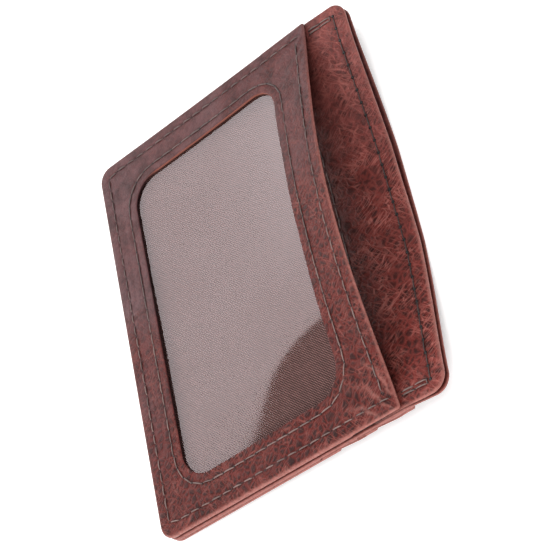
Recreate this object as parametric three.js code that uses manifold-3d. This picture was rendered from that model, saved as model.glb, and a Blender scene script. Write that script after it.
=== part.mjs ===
// A slim leather card wallet, lying on its back with its window up.
// The front half is an ID pocket behind a clear film window, then comes one open centre pocket,
// and the back carries three stepped card slots. Every pocket opens towards +Y.
//
// Frame: millimetres, +Z up. X runs across the wallet and +Y towards the open edge.
// The origin is on the table, under the centre of the wallet's outline.
// A height v is a distance up the wallet from its closed edge, so Y = v - walletHeight / 2.
// A level is a height in the pile of sheets at the side seams, from the outer face of the back.

import * as THREE from 'three';
import { mergeVertices } from 'three/addons/utils/BufferGeometryUtils.js';
import Module from 'manifold-3d';

const wasm = await Module();
wasm.setup();

// ---------------------------------------------------------------- driving dimensions

const walletWidth = 100;
const walletHeight = 79;
const cornerRadius = 3.8;
const liningSetback = 0.6; // linings stay this far inside the leather's edges

const frameLeather = 0.65; // leather of the window frame
const bodyLeather = 0.45; // leather of the facing and the back panel
const slotLeather = 0.35; // skived leather of the card slots
const liningCloth = 0.12;
const filmThickness = 0.2;
const layerGap = 0.05; // free play between neighbouring sheets

const hemWidth = 3; // width of every turned edge
const hemRamp = 0.4; // a turned edge's inner fold dies out over this width

const idMouthDrop = 10.6; // ID pocket's mouth, below the top edge
const sideBorder = 10; // frame leather on each side of the window
const closedBorder = 10; // frame leather between the window and the closed edge
const mouthBorder = 11.4; // frame leather between the window and the ID pocket's mouth
const windowRadius = 7;
const filmMargin = 3; // film hidden behind the frame around the window
const facingDepth = 18; // facing strip, from the top edge down into the ID pocket
const facingOverlap = 2; // the ID lining reaches this far up behind the facing
const liningTopDrop = 4; // centre pocket linings stop this far below the top edge

const firstSlotDrop = 9; // mouth of the upper card slot, below the top edge
const slotPitch = 10; // step from one card slot to the next
const slotUnderlap = 5; // a slot's leather runs on behind the next slot by this much
const slotShingle = 5; // a slot's leather comes out to the surface over this height
const cardDepth = 48; // depth of the upper and middle card slots

const mouthLift = 5.4; // how far the side seams stand off the table at the open edge
const backPress = 1.1; // over 1, so that the middle of the back lies flat on the table
const backSharpness = 1.6; // how steeply the back rises towards its seams
const pocketOpening = 1.4; // extra opening of the centre pocket, at the middle of its mouth
const pocketSharpness = 1.3;
const pocketGrowth = 1.2; // how the opening grows from the closed edge to the mouth
const lipRise = 7.8; // how far the ID pocket's lip bows off the seams
const lipSharpness = 1.34;
const lipGrowth = 2.46;

const stitchPitch = 3.2;
const threadWidth = 0.4;
const seamInset = 3; // side seam, in from the edges
const windowSeamOffset = 2.4; // window seam, out from the window
const mouthSeamDrop = 2.9; // stitch rows below each mouth or top edge
const facingSeamDrop = 3.2;
const facingFootInset = 1.5; // seam at the foot of the facing
const tailFootInset = 1.5; // seam at the foot of a slot's tail
const tackDoubling = 0.45; // the back-stitched run lies beside the seam by this much
const threadSeat = 0.08; // play between a thread and the leather under it
const sunkThread = 0.2; // thickness of a thread that lies in a channel of the back
const sunkPlay = 0.04; // play between that thread and its channel
const stitchSwell = 0.12; // a visible stitch stands this much higher at its middle

const acrossStep = 18; // widest step between the grid lines of a sheet, across the wallet
const upStep = 12; // and up the wallet

// ---------------------------------------------------------------- derived sizes

const halfWidth = walletWidth / 2;
const halfHeight = walletHeight / 2;
// half width of the flat middle that the back rests on
const flatHalfWidth = halfWidth * Math.sqrt(1 - (1 / backPress) ** (1 / backSharpness));
const idMouth = walletHeight - idMouthDrop;
const windowBottom = closedBorder;
const windowTop = idMouth - mouthBorder;
const windowHalfWidth = halfWidth - sideBorder;
const facingFoot = walletHeight - facingDepth;
const idLiningTop = facingFoot + facingOverlap;
const liningTop = walletHeight - liningTopDrop;

const slotMouths = {
  upper: walletHeight - firstSlotDrop,
  middle: walletHeight - firstSlotDrop - slotPitch,
  lower: walletHeight - firstSlotDrop - 2 * slotPitch,
};
const bandFoots = {
  upper: slotMouths.middle - slotUnderlap,
  middle: slotMouths.lower - slotUnderlap,
};
const tailFoots = {
  upper: slotMouths.upper - cardDepth,
  middle: slotMouths.middle - cardDepth,
};

// ---------------------------------------------------------------- levels in the pile

// Straight line between two levels, held flat outside them.
function ramp(v, fromV, toV, fromLevel, toLevel) {
  const t = THREE.MathUtils.clamp((v - fromV) / (toV - fromV), 0, 1);
  return THREE.MathUtils.lerp(fromLevel, toLevel, t);
}

// A slot's leather starts behind the hem of the slot below it, then comes out to the surface.
const hemThickness = 2 * slotLeather;
const behindHem = hemThickness + layerGap;
const oneLining = liningCloth + layerGap;
const middleBand = (v) => ramp(v, slotMouths.lower, slotMouths.lower + slotShingle, behindHem, 0);
const behindMiddle = Math.max(behindHem, middleBand(bandFoots.upper) + slotLeather + layerGap + oneLining);
const upperBand = (v) => ramp(v, slotMouths.middle, slotMouths.middle + slotShingle, behindMiddle, 0);
const bandLevels = { upper: upperBand, middle: middleBand, lower: () => 0 };

const middleTailHigh = behindHem + slotLeather + layerGap;
const upperTailHigh = Math.max(middleTailHigh + oneLining, behindMiddle + slotLeather + layerGap);
const middleTailLow = slotLeather + layerGap;
const upperTailLow = middleTailLow + oneLining;

const backPanelLevel = upperTailHigh + oneLining;
const liningBackLevel = backPanelLevel + bodyLeather + layerGap;
const liningFrontLevel = liningBackLevel + liningCloth + layerGap;
const idLiningLevel = liningFrontLevel + liningCloth + layerGap;
const facingLevel = idLiningLevel + liningCloth + layerGap;
const filmLevel = facingLevel + bodyLeather + layerGap;
const frameLevel = filmLevel + filmThickness + layerGap;
const frameHemDepth = filmThickness + layerGap; // the frame's turned edge fills the film's level

// ---------------------------------------------------------------- grid lines of the sheets

// Fills a list of places with extra ones, so that no step is wider than widest.
function filled(widest, values) {
  const sorted = [...values].sort((a, b) => a - b).filter((v, i, all) => i === 0 || v - all[i - 1] > 0.05);
  const out = [sorted[0]];
  for (const next of sorted.slice(1)) {
    const from = out[out.length - 1];
    const steps = Math.ceil((next - from) / widest);
    for (let k = 1; k <= steps; k += 1) out.push(from + ((next - from) * k) / steps);
  }
  return out;
}

const rim = halfWidth - hemWidth;
const stationsAcross = filled(acrossStep, [
  -halfWidth, -rim, -rim + hemRamp, -flatHalfWidth, 0, flatHalfWidth, rim - hemRamp, rim, halfWidth,
]);

const stationsUp = filled(upStep, [
  0, hemWidth, hemWidth + hemRamp, walletHeight,
  closedBorder - filmMargin, windowTop + filmMargin,
  idMouth - hemWidth - hemRamp, idMouth - hemWidth, idMouth,
  facingFoot, idLiningTop, liningTop, walletHeight - hemWidth / 2,
  ...Object.values(slotMouths).flatMap((mouth) => [mouth, mouth - hemWidth, mouth - hemWidth - hemRamp]),
  bandFoots.upper, bandFoots.middle,
  slotMouths.middle + slotShingle, slotMouths.lower + slotShingle,
  tailFoots.upper, tailFoots.middle,
]);

// 1 where an edge is turned, at the two sides and the closed edge, and 0 inside.
function rimTurn(x, v) {
  const inFromEdge = Math.min(halfWidth - Math.abs(x), v);
  return THREE.MathUtils.clamp((hemWidth + hemRamp - inFromEdge) / hemRamp, 0, 1);
}

// ---------------------------------------------------------------- how the wallet bows

// 1 at the middle of the width, 0 at the seams.
function crown(x, sharpness) {
  return Math.max(0, 1 - (x / halfWidth) ** 2) ** sharpness;
}

// The side seams rise in a straight line from the closed edge to the open edge.
function seamRise(v) {
  return (mouthLift * v) / walletHeight;
}

// The back sags to the table between its seams, and lies flat where it reaches it.
function backShape(x, v) {
  return Math.max(0, seamRise(v) * (1 - backPress * crown(x, backSharpness)));
}

// The front wall of the centre pocket stands off the back.
function wallShape(x, v) {
  const growth = (v / walletHeight) ** pocketGrowth;
  return backShape(x, v) + pocketOpening * crown(x, pocketSharpness) * growth;
}

// The window panel bows up, most at its lip.
function lipShape(x, v) {
  return seamRise(v) + lipRise * crown(x, lipSharpness) * (v / idMouth) ** lipGrowth;
}

// Above the ID pocket's mouth the pile closes down onto the back panel's turned top edge.
function pileDrop(v) {
  return ramp(v, idMouth, walletHeight - hemWidth / 2, 0, -backPanelLevel);
}

// ---------------------------------------------------------------- solids

function solidOf(geometry) {
  geometry.deleteAttribute('normal');
  geometry.deleteAttribute('uv');
  const merged = mergeVertices(geometry, 1e-4);
  return new wasm.Manifold(new wasm.Mesh({
    numProp: 3,
    vertProperties: new Float32Array(merged.attributes.position.array),
    triVerts: new Uint32Array(merged.index.array),
  }));
}

function geometryOf(solid) {
  const mesh = solid.getMesh();
  const geometry = new THREE.BufferGeometry();
  geometry.setAttribute('position', new THREE.BufferAttribute(mesh.vertProperties, 3));
  geometry.setIndex(new THREE.BufferAttribute(mesh.triVerts, 1));
  geometry.computeVertexNormals();
  return geometry;
}

// Rounded rectangle between two widths and two heights up the wallet.
function roundedRectangle(halfSpan, bottom, top, radius) {
  const shape = new THREE.Shape();
  const low = bottom - halfHeight;
  const high = top - halfHeight;
  shape.moveTo(-halfSpan + radius, low);
  shape.lineTo(halfSpan - radius, low);
  shape.absarc(halfSpan - radius, low + radius, radius, -Math.PI / 2, 0, false);
  shape.lineTo(halfSpan, high - radius);
  shape.absarc(halfSpan - radius, high - radius, radius, 0, Math.PI / 2, false);
  shape.lineTo(-halfSpan + radius, high);
  shape.absarc(-halfSpan + radius, high - radius, radius, Math.PI / 2, Math.PI, false);
  shape.lineTo(-halfSpan, low + radius);
  shape.absarc(-halfSpan + radius, low + radius, radius, Math.PI, 1.5 * Math.PI, false);
  return shape;
}

// Upright prism on an outline, tall enough to cut every sheet.
function prism(shape, arcSegments) {
  const reach = mouthLift + lipRise + frameLevel + frameLeather + 10;
  const geometry = new THREE.ExtrudeGeometry(shape, {
    depth: 2 * reach, bevelEnabled: false, curveSegments: arcSegments,
  });
  return solidOf(geometry.translate(0, 0, -reach));
}

const leatherOutline = prism(roundedRectangle(halfWidth, 0, walletHeight, cornerRadius), 4);
const tailOutline = prism(roundedRectangle(rim - hemRamp - layerGap, 0, walletHeight, cornerRadius), 2);
const liningOutline = prism(roundedRectangle(
  halfWidth - liningSetback, liningSetback, walletHeight - liningSetback, cornerRadius - liningSetback,
), 4);

// A box's upper and lower faces split their cells along opposite diagonals. The lower ones are turned,
// so that the faces of neighbouring sheets stay parallel however they bow.
function turnLowerDiagonals(box) {
  const index = box.index.array;
  const lower = box.groups[5];
  for (let i = lower.start; i < lower.start + lower.count; i += 6) {
    const [a, b, d, , c] = index.slice(i, i + 5);
    index.set([a, b, c, a, c, d], i);
  }
}

// A sheet from height bottom to height top, whose two faces are the functions low and high of (x, v).
// A finely divided box is pulled onto the faces, and its outline is then cut.
function sheet({ bottom, top, low, high, outline }) {
  const inside = stationsUp.filter((v) => v > bottom + 0.1 && v < top - 0.1);
  const heights = [bottom, ...inside, top];
  const columns = stationsAcross.length - 1;
  const rows = heights.length - 1;
  const box = new THREE.BoxGeometry(1, 1, 1, columns, rows, 1);
  const position = box.attributes.position;
  for (let i = 0; i < position.count; i += 1) {
    const x = stationsAcross[Math.round((position.getX(i) + 0.5) * columns)];
    const v = heights[Math.round((position.getY(i) + 0.5) * rows)];
    const face = position.getZ(i) > 0 ? high : low;
    position.setXYZ(i, x, v - halfHeight, face(x, v));
  }
  turnLowerDiagonals(box);
  return solidOf(box).intersect(outline);
}

// A sheet of even thickness that follows one of the wallet's shapes at a level.
function evenSheet({ bottom, top, shape, level, thickness, outline }) {
  const low = (x, v) => shape(x, v) + level(v);
  const high = (x, v) => low(x, v) + thickness;
  return sheet({ bottom, top, low, high, outline });
}

// ---------------------------------------------------------------- thread rows

// A path through points that are already evenly spaced, so no length is re-measured.
class RowPath extends THREE.Curve {
  constructor(points) {
    super();
    this.points = points;
  }

  getPoint(t, target = new THREE.Vector3()) {
    const place = t * (this.points.length - 1);
    const index = Math.min(Math.floor(place), this.points.length - 2);
    return target.lerpVectors(this.points[index], this.points[index + 1], place - index);
  }

  getTangent(t, target = new THREE.Vector3()) {
    const index = Math.round(t * (this.points.length - 1));
    const before = this.points[Math.max(index - 1, 0)];
    const after = this.points[Math.min(index + 1, this.points.length - 1)];
    return target.subVectors(after, before).normalize();
  }

  getUtoTmapping(u) {
    return u;
  }
}

function sweep(points, width) {
  const half = width / 2;
  const section = new THREE.Shape([
    new THREE.Vector2(-half, -half), new THREE.Vector2(half, -half),
    new THREE.Vector2(half, half), new THREE.Vector2(-half, half),
  ]);
  return new THREE.ExtrudeGeometry(section, {
    steps: points.length - 1, bevelEnabled: false, extrudePath: new RowPath(points),
  });
}

// Needle holes along a flat outline, one stitch apart, as [x, v] pairs.
function needleHoles(path, pitch = stitchPitch) {
  const stitches = Math.round(path.getLength() / pitch);
  return path.getSpacedPoints(stitches).map((p) => [p.x, p.y]);
}

function straightRow(fromX, fromV, toX, toV, pitch) {
  const line = new THREE.LineCurve(new THREE.Vector2(fromX, fromV), new THREE.Vector2(toX, toV));
  return needleHoles(line, pitch);
}

// The height of a sheet's face at a place, on the flat facets between its grid lines.
function onFacets(face) {
  return (x, v) => {
    const i = THREE.MathUtils.clamp(stationsAcross.findIndex((s) => s > x), 1, stationsAcross.length - 1);
    const j = THREE.MathUtils.clamp(stationsUp.findIndex((s) => s > v), 1, stationsUp.length - 1);
    const [x0, x1] = [stationsAcross[i - 1], stationsAcross[i]];
    const [v0, v1] = [stationsUp[j - 1], stationsUp[j]];
    const s = (x - x0) / (x1 - x0);
    const t = (v - v0) / (v1 - v0);
    const near = face(x0, v0);
    const far = face(x1, v1);
    if (s >= t) return near + s * (face(x1, v0) - near) + t * (far - face(x1, v0));
    return near + t * (face(x0, v1) - near) + s * (far - face(x0, v1));
  };
}

// A row laid on a face: its thread lies threadSeat clear of the leather, and a swelling row stands
// higher between each two holes.
function laidRow(holes, smoothFace, swell = 0) {
  const face = onFacets(smoothFace);
  const seat = threadSeat + threadWidth / 2;
  const points = [];
  holes.forEach(([x, v], i) => {
    points.push(new THREE.Vector3(x, v - halfHeight, face(x, v) + seat));
    const next = holes[i + 1];
    if (swell > 0 && next) {
      const mx = (x + next[0]) / 2;
      const mv = (v + next[1]) / 2;
      points.push(new THREE.Vector3(mx, mv - halfHeight, face(mx, mv) + seat + swell));
    }
  });
  return points;
}

// A row sunk into a back face, flush with it, and the channel that it lies in.
function sunkRow(holes, smoothFace) {
  const face = onFacets(smoothFace);
  const points = holes.map(([x, v]) => new THREE.Vector3(x, v - halfHeight, face(x, v) + sunkThread / 2));
  const channel = solidOf(sweep(extended(points), sunkThread + 2 * sunkPlay));
  return { thread: sweep(points, sunkThread), channel };
}

// The same points with the two ends moved out, so that a channel is longer than its thread.
function extended(points) {
  const out = points.map((p) => p.clone());
  const last = out.length - 1;
  out[0].add(points[0].clone().sub(points[1]).setLength(2 * sunkPlay));
  out[last].add(points[last].clone().sub(points[last - 1]).setLength(2 * sunkPlay));
  return out;
}

// ---------------------------------------------------------------- materials

function leather(color) {
  return new THREE.MeshStandardMaterial({ color, roughness: 0.5, metalness: 0 });
}

function cloth(color) {
  return new THREE.MeshStandardMaterial({ color, roughness: 0.9, metalness: 0 });
}

function threadMaterial() {
  return new THREE.MeshStandardMaterial({ color: 0x3a2422, roughness: 0.8, metalness: 0 });
}

function filmMaterial() {
  return new THREE.MeshStandardMaterial({
    color: 0xd8d0d0, roughness: 0.1, metalness: 0, transparent: true, opacity: 0.35,
  });
}

const wallet = new THREE.Group();

function add(name, geometry, material) {
  const mesh = new THREE.Mesh(geometry, material);
  mesh.name = name;
  wallet.add(mesh);
}

// ---------------------------------------------------------------- front half

// The frame's edges are turned under. Along the mouth the turned edge fills the film's level, and in
// the rim it reaches down to the facing, or to the ID lining below the facing's foot.
function frameLow(x, v) {
  const mouthTurn = THREE.MathUtils.clamp((v - idMouth + hemWidth + hemRamp) / hemRamp, 0, 1);
  const rimDepth = v < facingFoot - layerGap ? frameLevel - idLiningLevel - oneLining : frameHemDepth;
  const depth = Math.max(mouthTurn * frameHemDepth, rimTurn(x, v) * rimDepth);
  return lipShape(x, v) + frameLevel - depth;
}

function frameHigh(x, v) {
  return lipShape(x, v) + frameLevel + frameLeather;
}

function facingHigh(x, v) {
  return wallShape(x, v) + facingLevel + pileDrop(v) + bodyLeather;
}

function makeWindowFrame() {
  const opening = prism(roundedRectangle(windowHalfWidth, windowBottom, windowTop, windowRadius), 6);
  const panel = sheet({ bottom: 0, top: idMouth, low: frameLow, high: frameHigh, outline: leatherOutline });
  add('window_frame', geometryOf(panel.subtract(opening)), leather(0x6e3b36));
}

function makeWindowFilm() {
  const halfSpan = windowHalfWidth + filmMargin;
  const outline = prism(roundedRectangle(halfSpan, windowBottom - filmMargin, windowTop + filmMargin, 1), 2);
  const film = evenSheet({
    bottom: windowBottom - filmMargin, top: windowTop + filmMargin,
    shape: lipShape, level: () => filmLevel, thickness: filmThickness, outline,
  });
  add('window_film', geometryOf(film), filmMaterial());
}

function makeFacingStrip() {
  const strip = evenSheet({
    bottom: facingFoot, top: walletHeight, shape: wallShape,
    level: (v) => facingLevel + pileDrop(v), thickness: bodyLeather, outline: leatherOutline,
  });
  add('facing_strip', geometryOf(strip), leather(0x7a403b));
}

function makeLinings() {
  const common = { thickness: liningCloth, outline: liningOutline };
  const bottom = liningSetback;
  const idLining = evenSheet({
    ...common, bottom, top: idLiningTop, shape: wallShape, level: () => idLiningLevel,
  });
  const frontLining = evenSheet({
    ...common, bottom, top: liningTop, shape: wallShape, level: (v) => liningFrontLevel + pileDrop(v),
  });
  const backLining = evenSheet({
    ...common, bottom, top: liningTop, shape: backShape, level: (v) => liningBackLevel + pileDrop(v),
  });
  add('id_lining', geometryOf(idLining), cloth(0x9c8486));
  add('pocket_lining_front', geometryOf(frontLining), cloth(0x3b2523));
  add('pocket_lining_back', geometryOf(backLining), cloth(0x3b2523));
}

// ---------------------------------------------------------------- back half

function slotFace(place) {
  return (x, v) => backShape(x, v) + bandLevels[place](v);
}

function panelFace(x, v) {
  return backShape(x, v) + backPanelLevel + pileDrop(v);
}

// The highest leather of the card slots at a height, in the turned rim.
function slotPileTop(v) {
  const upTo = (place) => v < slotMouths[place] + layerGap;
  const from = (place) => v > bandFoots[place] - layerGap;
  const tops = [upTo('lower') ? hemThickness : 0];
  for (const place of ['middle', 'upper']) {
    if (upTo(place) && from(place)) tops.push(bandLevels[place](v) + slotThickness(v, slotMouths[place]));
  }
  return Math.max(...tops);
}

// The back panel's turned rim is packed down onto the card slots.
function panelLow(x, v) {
  const packed = backPanelLevel + pileDrop(v) - slotPileTop(v) - layerGap;
  const depth = v < slotMouths.upper + layerGap ? Math.max(0, packed) : 0;
  return panelFace(x, v) - rimTurn(x, v) * depth;
}

// A slot's leather is doubled in its hem, on the inside.
function slotThickness(v, mouth) {
  return ramp(v, mouth - hemWidth - hemRamp, mouth - hemWidth, slotLeather, hemThickness);
}

function makeSlotPanel(place, bottom) {
  const mouth = slotMouths[place];
  const low = slotFace(place);
  const turned = (x, v) => (place === 'lower' ? rimTurn(x, v) * (hemThickness - slotLeather) : 0);
  const high = (x, v) => low(x, v) + Math.max(slotThickness(v, mouth), slotLeather + turned(x, v));
  const body = sheet({ bottom, top: mouth, low, high, outline: leatherOutline });
  const seam = mouth - mouthSeamDrop;
  const row = sunkRow(straightRow(-rim, seam, rim, seam, 2 * stitchPitch), low);
  add('slot_thread_' + place, row.thread, threadMaterial());
  return body.subtract(row.channel);
}

// A tail hangs behind its slot's leather, and drops to the next free level below it.
function makeSlotTail(place, level) {
  const foot = tailFoots[place];
  const tail = evenSheet({
    bottom: foot, top: slotMouths[place] - hemWidth - hemRamp,
    shape: backShape, level, thickness: liningCloth, outline: tailOutline,
  });
  add('slot_tail_' + place, geometryOf(tail), cloth(0x3b2523));
  const face = (x, v) => backShape(x, v) + level(v) + liningCloth;
  const halfSpan = rim - hemWidth;
  const row = laidRow(straightRow(-halfSpan, foot + tailFootInset, halfSpan, foot + tailFootInset), face);
  add('tail_thread_' + place, sweep(row, threadWidth / 2), threadMaterial());
}

function middleTailLevel(v) {
  const hidden = ramp(v, bandFoots.middle - hemWidth, bandFoots.middle, middleTailLow, middleTailHigh);
  return v < bandFoots.middle ? hidden : middleBand(v) + slotLeather + layerGap;
}

function upperTailLevel(v) {
  const hidden = ramp(v, bandFoots.middle - hemWidth, bandFoots.middle, upperTailLow, upperTailHigh);
  return v < bandFoots.upper ? hidden : upperBand(v) + slotLeather + layerGap;
}

function makeBackHalf() {
  const high = (x, v) => panelFace(x, v) + bodyLeather;
  const panel = sheet({ bottom: 0, top: walletHeight, low: panelLow, high, outline: leatherOutline });
  const topSeam = walletHeight - mouthSeamDrop;
  const topRow = sunkRow(straightRow(-rim, topSeam, rim, topSeam, 2 * stitchPitch), panelFace);
  add('back_panel', geometryOf(panel.subtract(topRow.channel)), leather(0x5f322e));
  add('back_top_thread', topRow.thread, threadMaterial());

  const seam = sunkRow(needleHoles(sideSeam(slotMouths.lower - hemWidth - stitchPitch)), slotFace('lower'));
  const lower = makeSlotPanel('lower', 0).subtract(seam.channel);
  add('slot_panel_lower', geometryOf(lower), leather(0x6a3833));
  add('side_thread_back', seam.thread, threadMaterial());
  add('slot_panel_middle', geometryOf(makeSlotPanel('middle', bandFoots.middle)), leather(0x6a3833));
  add('slot_panel_upper', geometryOf(makeSlotPanel('upper', bandFoots.upper)), leather(0x6a3833));
  makeSlotTail('middle', middleTailLevel);
  makeSlotTail('upper', upperTailLevel);
}

// ---------------------------------------------------------------- seams on the front

// Down one side, along the closed edge and up the other side, as a flat path of (x, v).
function sideSeam(topV) {
  const side = halfWidth - seamInset;
  const turn = seamInset / 3;
  const path = new THREE.Path();
  path.moveTo(-side, topV);
  path.lineTo(-side, seamInset + turn);
  path.absarc(-side + turn, seamInset + turn, turn, Math.PI, 1.5 * Math.PI, false);
  path.lineTo(side - turn, seamInset);
  path.absarc(side - turn, seamInset + turn, turn, -Math.PI / 2, 0, false);
  path.lineTo(side, topV);
  return path;
}

// Round the window, starting and ending a stitch apart on the side nearest the closed edge.
function windowSeam() {
  const half = windowHalfWidth + windowSeamOffset;
  const low = windowBottom - windowSeamOffset;
  const high = windowTop + windowSeamOffset;
  const r = windowRadius + windowSeamOffset;
  const path = new THREE.Path();
  path.moveTo(stitchPitch / 2, low);
  path.lineTo(half - r, low);
  path.absarc(half - r, low + r, r, -Math.PI / 2, 0, false);
  path.lineTo(half, high - r);
  path.absarc(half - r, high - r, r, 0, Math.PI / 2, false);
  path.lineTo(-half + r, high);
  path.absarc(-half + r, high - r, r, Math.PI / 2, Math.PI, false);
  path.lineTo(-half, low + r);
  path.absarc(-half + r, low + r, r, Math.PI, 1.5 * Math.PI, false);
  path.lineTo(-stitchPitch / 2, low);
  return path;
}

function addRow(name, holes, face, swell) {
  add(name, sweep(laidRow(holes, face, swell), threadWidth), threadMaterial());
}

// Back-stitching beside the side seam, out and back, where it runs on above the ID pocket.
function tackHoles(side) {
  const bottom = idMouth + threadWidth;
  const top = walletHeight - facingSeamDrop - 2 * threadWidth;
  const inner = side * (halfWidth - seamInset - tackDoubling);
  const outer = side * (halfWidth - seamInset + tackDoubling);
  return [...straightRow(inner, bottom, inner, top), ...straightRow(outer, top, outer, bottom)];
}

function makeFrontSeams() {
  addRow('window_thread', needleHoles(windowSeam()), frameHigh, stitchSwell);
  addRow('side_thread_front', needleHoles(sideSeam(idMouth - hemWidth / 2)), frameHigh, stitchSwell);

  const mouthRow = idMouth - mouthSeamDrop;
  const mouthHalf = halfWidth - seamInset - stitchPitch / 2;
  addRow('frame_mouth_thread', straightRow(-mouthHalf, mouthRow, mouthHalf, mouthRow), frameHigh, stitchSwell);

  const topRow = walletHeight - facingSeamDrop;
  addRow('facing_top_thread', straightRow(-rim, topRow, rim, topRow), facingHigh, stitchSwell);

  const footHalf = windowHalfWidth;
  const footRow = facingFoot + facingFootInset;
  const footPoints = laidRow(straightRow(-footHalf, footRow, footHalf, footRow), facingHigh);
  add('facing_foot_thread', sweep(footPoints, threadWidth / 2), threadMaterial());

  addRow('tack_thread_left', tackHoles(-1), facingHigh, 0);
  addRow('tack_thread_right', tackHoles(1), facingHigh, 0);
}

makeWindowFrame();
makeWindowFilm();
makeFacingStrip();
makeLinings();
makeBackHalf();
makeFrontSeams();

export default wallet;
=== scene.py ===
# %% [markdown]
# # A slim leather card wallet
#
# The wallet lies on its back with its ID window up. It is thin sheets of leather and cloth sewn together
# around three edges, so nearly every surface here is one sheet that follows a gentle bow.
# Each sheet is a numpy grid of points, and gets its thickness, its turned edges and the small puckers that
# the stitches pull into it. All lengths are in millimetres until a mesh is made.

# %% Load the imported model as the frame
import math
from functools import partial
import bpy
import numpy as np
from mathutils import Matrix, Vector


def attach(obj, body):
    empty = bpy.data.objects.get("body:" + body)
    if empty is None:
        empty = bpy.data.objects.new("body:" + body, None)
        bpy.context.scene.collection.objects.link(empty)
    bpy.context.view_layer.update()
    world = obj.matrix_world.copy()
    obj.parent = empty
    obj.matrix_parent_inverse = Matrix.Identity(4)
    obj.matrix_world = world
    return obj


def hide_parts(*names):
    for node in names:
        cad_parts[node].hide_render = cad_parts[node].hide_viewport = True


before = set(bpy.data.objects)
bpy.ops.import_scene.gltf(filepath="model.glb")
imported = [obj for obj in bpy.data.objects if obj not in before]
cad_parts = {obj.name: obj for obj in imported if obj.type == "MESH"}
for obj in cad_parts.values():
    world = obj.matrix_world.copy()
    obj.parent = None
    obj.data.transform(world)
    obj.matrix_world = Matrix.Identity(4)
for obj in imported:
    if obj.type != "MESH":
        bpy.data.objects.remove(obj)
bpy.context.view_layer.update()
MM = 0.001

# %% [markdown]
# ## Camera
#
# A long lens looks down at the wallet from beyond its open edge, and is rolled so that the wallet stands on
# one closed corner. A camera's own axes are right, up and back, so the three directions can be written
# straight into its matrix.

# %% Camera
camera_data = bpy.data.cameras.new("camera")
camera_data.sensor_width = 36.0
camera_data.lens = 123.9
camera_data.clip_start = 0.01
camera_data.clip_end = 20.0
camera = bpy.data.objects.new("camera", camera_data)
bpy.context.scene.collection.objects.link(camera)

eye = Vector((223.2, 196.7, 315.6)) * MM
looking = Vector((-0.5123, -0.4499, -0.7315)).normalized()
upwards = Vector((-0.8378, 0.4488, 0.3108)).normalized()
sideways = looking.cross(upwards).normalized()
upwards = sideways.cross(looking).normalized()
turned = Matrix((sideways, upwards, -looking)).transposed().to_4x4()
camera.matrix_world = Matrix.Translation(eye) @ turned
bpy.context.scene.camera = camera
print("camera at", [round(c, 3) for c in eye])

# %% [markdown]
# ## The wallet's sizes
#
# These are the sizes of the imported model, so that each fine sheet lies where its plain one does. A height v
# is measured up the wallet from its closed edge. A level is a height in the pile of sheets.

# %% Sizes and levels
WIDTH, HEIGHT = 100.0, 79.0
HALF_WIDTH, HALF_HEIGHT = WIDTH / 2, HEIGHT / 2
CORNER = 3.8
ID_MOUTH = 68.4
WINDOW = np.array([40.0, 10.0, 57.0, 7.0])  # half width, bottom, top, corner radius
FRAME_LEATHER, BODY_LEATHER, SLOT_LEATHER = 0.65, 0.45, 0.35
CLOTH = 0.12
PITCH = 3.2
SEAM = 3.0
LEVEL = {"panel": 1.49, "lining_back": 1.99, "lining_front": 2.16, "id": 2.33, "facing": 2.50,
         "film": 3.00, "frame": 3.25}
FRAME_TOP = LEVEL["frame"] + FRAME_LEATHER
MOUTHS = {"upper": 70.0, "middle": 60.0, "lower": 50.0}
FOOTS = {"upper": 55.0, "middle": 45.0, "lower": 0.0}
HEM, FOLD = 3.0, 0.4  # how far an edge is turned in, and over how much it thickens
GAP = 0.05  # air between neighbouring sheets
SEAM_RISE = 5.4
LIP_BOW = 7.8
POCKET_OPENING = 1.4
GAPE_FROM = 57.0
EDGE_REACH = 0.6
SIDE_FLARE = 1.4
FACING_RISE = 1.0

# %% How the wallet bows


def ramp(v, from_v, to_v, from_level, to_level):
    """Straight line from one level to another between two heights, held flat outside them."""
    t = np.clip((v - from_v) / (to_v - from_v), 0, 1)
    return from_level + (to_level - from_level) * t


def crown(x, sharpness):
    """(1 - (x / half width)^2) to a power: 1 at the middle of the width, 0 at the seams."""
    return np.clip(1 - (x / HALF_WIDTH) ** 2, 0, 1) ** sharpness


def seam_rise(v):
    """The side seams rise in a straight line over the wallet's height."""
    return SEAM_RISE * v / HEIGHT


def back_shape(x, v):
    """The back sags from its seams to the table: rise times (1 - 1.1 crown^1.6), never below 0."""
    return np.maximum(0, seam_rise(v) * (1 - 1.1 * crown(x, 1.6)))


def wall_shape(x, v):
    """The front wall of the centre pocket stands off the back by opening crown^1.3 (v / height)^1.2, times
    0.55 - 1.5 x / half width (0.1 to 1.7) at the mouth, which gapes more on the left."""
    gape = np.clip(0.55 - 1.5 * x / HALF_WIDTH, 0.1, 1.7)
    near_mouth = np.clip((v - GAPE_FROM) / (HEIGHT - GAPE_FROM), 0, 1)
    opening = POCKET_OPENING * crown(x, 1.3) * (np.maximum(v, 0) / HEIGHT) ** 1.2
    return back_shape(x, v) + opening * (1 + near_mouth * (gape - 1))


def edge_reach(x, v):
    """The open edge of the pocket has stretched upwards on its right two thirds."""
    return EDGE_REACH * np.clip((x + 40.0) / 45.0, 0, 1) * np.clip((v - 64.0) / (HEIGHT - 64.0), 0, 1)


def side_flare(x, v):
    """The left seam has stretched outwards by flare (v / height)^2, fading to the middle of the width."""
    return -SIDE_FLARE * np.clip(-x / HALF_WIDTH, 0, 1) ** 2 * np.clip(v / HEIGHT, 0, 1) ** 2


def facing_rise(v):
    """The facing's turned top edge is thick, so its face closes down less."""
    return ramp(v, ID_MOUTH, HEIGHT - HEM / 2, 0, FACING_RISE)


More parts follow.
